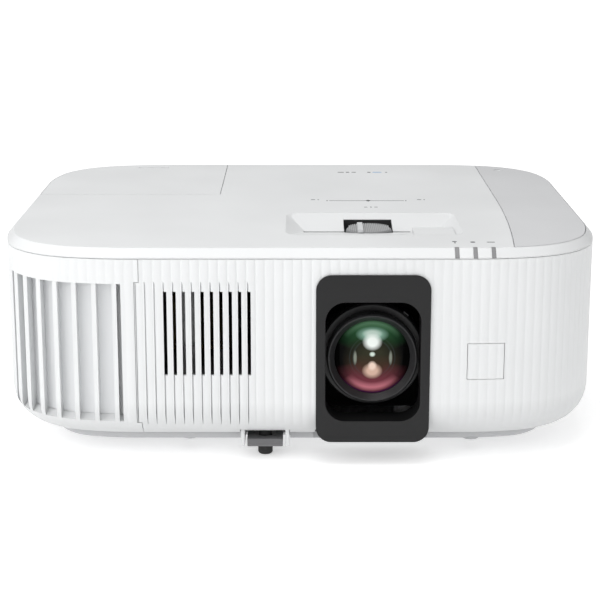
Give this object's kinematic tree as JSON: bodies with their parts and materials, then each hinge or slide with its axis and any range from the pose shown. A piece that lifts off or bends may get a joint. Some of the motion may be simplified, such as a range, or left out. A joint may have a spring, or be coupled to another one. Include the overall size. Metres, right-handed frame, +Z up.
{
  "type": "home projector",
  "caption": "Low white home cinema projector with a ribbed case, a black-framed shifting zoom lens, a corner exhaust grille, and its optics, lamp, fans and boards inside.",
  "frame": {"origin": "on the table, under the middle of the case", "axes": "+Z up; -Y is the way the lens faces; +X is to the right as seen from in front"},
  "size_m": [0.333, 0.277, 0.121],
  "materials": {
    "case_white": "satin",
    "wall_white": "satin",
    "base_white": "satin",
    "grille_white": "satin",
    "baffle_grey": "satin",
    "socket_panel_grey": "satin",
    "bezel_black": "semi-gloss",
    "window_white": "satin",
    "window_dark": "gloss",
    "indicator_grey": "gloss",
    "lamp_cover_white": "satin",
    "cover_screw_steel": "plain",
    "stick_cover_white": "satin",
    "bay_white": "satin",
    "filter_cover_white": "satin",
    "filter_foam": "open foam",
    "screw_steel": "zinc plated",
    "insert_brass": "knurled",
    "foot_white": "satin",
    "foot_black": "matte",
    "lever_dark": "satin",
    "foot_stud_left": "satin",
    "foot_stud_right": "satin",
    "sole_left": "matte",
    "sole_right": "matte",
    "power_button_grey": "satin",
    "menu_button_grey": "satin",
    "back_button_grey": "satin",
    "arrow_ring_grey": "satin",
    "enter_button_grey": "satin",
    "button_board_green": "solder mask",
    "carriage_metal": "cast",
    "barrel_black": "matte",
    "focus_ring_black": "satin",
    "zoom_ring_black": "satin",
    "coated_glass": "coated",
    "inner_glass": "coated",
    "frame_steel": "stamped",
    "rod_steel": "ground",
    "drive_screw_brass": "turned",
    "dial_grey": "satin",
    "pointer_grey": "satin",
    "engine_metal": "die cast",
    "engine_cover_black": "matte",
    "prism_glass": "polished",
    "panel_black": "matte",
    "optics_glass": "coated",
    "lamp_housing_grey": "heat resistant",
    "reflector_mirror": "dichroic",
    "burner_quartz": "quartz",
    "main_board_green": "solder mask",
    "power_board_green": "laminate",
    "ballast_board_green": "laminate",
    "socket_metal": "plated",
    "inlet_black": "satin",
    "fan_black": "satin",
    "fan_rotor_black": "satin",
    "blower_black": "satin",
    "blower_wheel_black": "satin",
    "speaker_black": "satin"
  },
  "bodies": {
    "projector_case": {"upper_case": "case_white", "side_wall": "wall_white", "lower_case": "base_white", "exhaust_grille": "grille_white", "exhaust_baffle": "baffle_grey", "rear_panel": "socket_panel_grey", "lens_bezel": "bezel_black", "front_ir_window": "window_white", "rear_ir_window": "window_dark", "indicator_lights": "indicator_grey", "stick_bay": "bay_white", "case_screws": "screw_steel", "ceiling_inserts": "insert_brass", "foot_housing": "foot_white", "button_board": "button_board_green", "shift_frame": "frame_steel", "guide_rods": "rod_steel", "engine_base": "engine_metal", "engine_cover": "engine_cover_black", "prism": "prism_glass", "lcd_panels": "panel_black", "relay_optics": "optics_glass", "lamp_housing": "lamp_housing_grey", "lamp_reflector": "reflector_mirror", "lamp_burner": "burner_quartz", "main_board": "main_board_green", "power_board": "power_board_green", "ballast_board": "ballast_board_green", "signal_sockets": "socket_metal", "power_inlet": "inlet_black", "exhaust_fan_frame": "fan_black", "blower_case": "blower_black", "speaker": "speaker_black"},
    "lens_unit": {"lens_carriage": "carriage_metal", "lens_barrel": "barrel_black", "rear_glass": "inner_glass"},
    "focus_unit": {"focus_ring": "focus_ring_black", "front_glass": "coated_glass"},
    "zoom_unit": {"zoom_ring": "zoom_ring_black"},
    "shift_screw": {"shift_screw": "drive_screw_brass"},
    "shift_dial": {"shift_dial": "dial_grey", "dial_pointer": "pointer_grey"},
    "lamp_cover": {"lamp_cover": "lamp_cover_white", "lamp_cover_screw": "cover_screw_steel"},
    "stick_cover": {"stick_cover": "stick_cover_white"},
    "filter_drawer": {"filter_cover": "filter_cover_white", "air_filter": "filter_foam"},
    "front_foot": {"front_foot": "foot_black"},
    "foot_lever": {"foot_lever": "lever_dark"},
    "rear_sole_left": {"rear_sole_left": "sole_left"},
    "rear_foot_left": {"rear_foot_left": "foot_stud_left"},
    "rear_sole_right": {"rear_sole_right": "sole_right"},
    "rear_foot_right": {"rear_foot_right": "foot_stud_right"},
    "power_button": {"power_button": "power_button_grey"},
    "menu_button": {"menu_button": "menu_button_grey"},
    "back_button": {"back_button": "back_button_grey"},
    "arrow_ring": {"arrow_ring": "arrow_ring_grey"},
    "enter_button": {"enter_button": "enter_button_grey"},
    "exhaust_fan_rotor": {"exhaust_fan_rotor": "fan_rotor_black"},
    "blower_wheel": {"blower_wheel": "blower_wheel_black"}
  },
  "joints": [
    {"name": "lens_shift", "type": "slide", "parent": "projector_case", "child": "lens_unit", "axis": [0, 0, 1], "range_m": [-0.0045, 0.0045]},
    {"name": "shift_screw_turn", "type": "hinge", "parent": "projector_case", "child": "shift_screw", "pos_m": [0.0068, -0.07, 0.06], "axis": [0, 0, 1], "range_deg": [-410, 410]},
    {"name": "shift_dial_turn", "type": "hinge", "parent": "projector_case", "child": "shift_dial", "pos_m": [0.0393, -0.07, 0.11], "axis": [0, 0, 1], "range_deg": [-182, 182]},
    {"name": "focus_turn", "type": "hinge", "parent": "lens_unit", "child": "focus_unit", "pos_m": [0.0393, -0.118, 0.0588], "axis": [0, 1, 0], "range_deg": [-60, 60]},
    {"name": "zoom_turn", "type": "hinge", "parent": "lens_unit", "child": "zoom_unit", "pos_m": [0.0393, -0.11, 0.0588], "axis": [0, 1, 0], "range_deg": [-55, 20]},
    {"name": "lamp_cover_lift", "type": "slide", "parent": "projector_case", "child": "lamp_cover", "axis": [0, 0, 1], "range_m": [0, 0.04]},
    {"name": "stick_cover_lift", "type": "slide", "parent": "projector_case", "child": "stick_cover", "axis": [0, 0, 1], "range_m": [0, 0.04]},
    {"name": "filter_pull", "type": "slide", "parent": "projector_case", "child": "filter_drawer", "axis": [1, 0, 0], "range_m": [0, 0.03]},
    {"name": "front_foot_drop", "type": "slide", "parent": "projector_case", "child": "front_foot", "axis": [0, 0, -1], "range_m": [0, 0.026]},
    {"name": "foot_lever_squeeze", "type": "hinge", "parent": "projector_case", "child": "foot_lever", "pos_m": [-0.0193, -0.109, 0.011], "axis": [-1, 0, 0], "range_deg": [0, 8], "stiffness_Nm_per_rad": 0.1, "springref_deg": -11.46},
    {"name": "rear_foot_left_drop", "type": "slide", "parent": "projector_case", "child": "rear_sole_left", "axis": [0, 0, -1], "range_m": [0, 0.008]},
    {"name": "rear_foot_left_turn", "type": "hinge", "parent": "rear_sole_left", "child": "rear_foot_left", "pos_m": [-0.112, 0.088, 0.01], "axis": [0, 0, 1], "range_deg": [-5, 2310]},
    {"name": "rear_foot_right_drop", "type": "slide", "parent": "projector_case", "child": "rear_sole_right", "axis": [0, 0, -1], "range_m": [0, 0.008]},
    {"name": "rear_foot_right_turn", "type": "hinge", "parent": "rear_sole_right", "child": "rear_foot_right", "pos_m": [0.112, 0.088, 0.01], "axis": [0, 0, 1], "range_deg": [-5, 2310]},
    {"name": "power_button_press", "type": "slide", "parent": "projector_case", "child": "power_button", "axis": [0, -1, 0], "range_m": [0, 0.001], "stiffness_N_per_m": 600, "springref_m": -0.0004},
    {"name": "menu_button_press", "type": "slide", "parent": "projector_case", "child": "menu_button", "axis": [0, -1, 0], "range_m": [0, 0.001], "stiffness_N_per_m": 600, "springref_m": -0.0004},
    {"name": "back_button_press", "type": "slide", "parent": "projector_case", "child": "back_button", "axis": [0, -1, 0], "range_m": [0, 0.001], "stiffness_N_per_m": 600, "springref_m": -0.0004},
    {"name": "enter_button_press", "type": "slide", "parent": "projector_case", "child": "enter_button", "axis": [0, -1, 0], "range_m": [0, 0.001], "stiffness_N_per_m": 600, "springref_m": -0.0004},
    {"name": "arrow_ring_press", "type": "slide", "parent": "projector_case", "child": "arrow_ring", "axis": [0, -1, 0], "range_m": [0, 0.001], "stiffness_N_per_m": 600, "springref_m": -0.0004},
    {"name": "exhaust_fan_spin", "type": "hinge", "parent": "projector_case", "child": "exhaust_fan_rotor", "pos_m": [-0.108, -0.079, 0.0628], "axis": [0.7071, 0.7071, 0], "continuous": true},
    {"name": "blower_spin", "type": "hinge", "parent": "projector_case", "child": "blower_wheel", "pos_m": [0.128, -0.02, 0.062], "axis": [1, 0, 0], "continuous": true}
  ],
  "couplings": [
    {"joint": "shift_screw_turn", "follows": "lens_shift", "rad_per_m": 1570.8},
    {"joint": "shift_dial_turn", "follows": "lens_shift", "rad_per_m": -698.13},
    {"joint": "rear_foot_left_turn", "follows": "rear_foot_left_drop", "rad_per_m": 5026.5},
    {"joint": "rear_foot_right_turn", "follows": "rear_foot_right_drop", "rad_per_m": 5026.5}
  ]
}
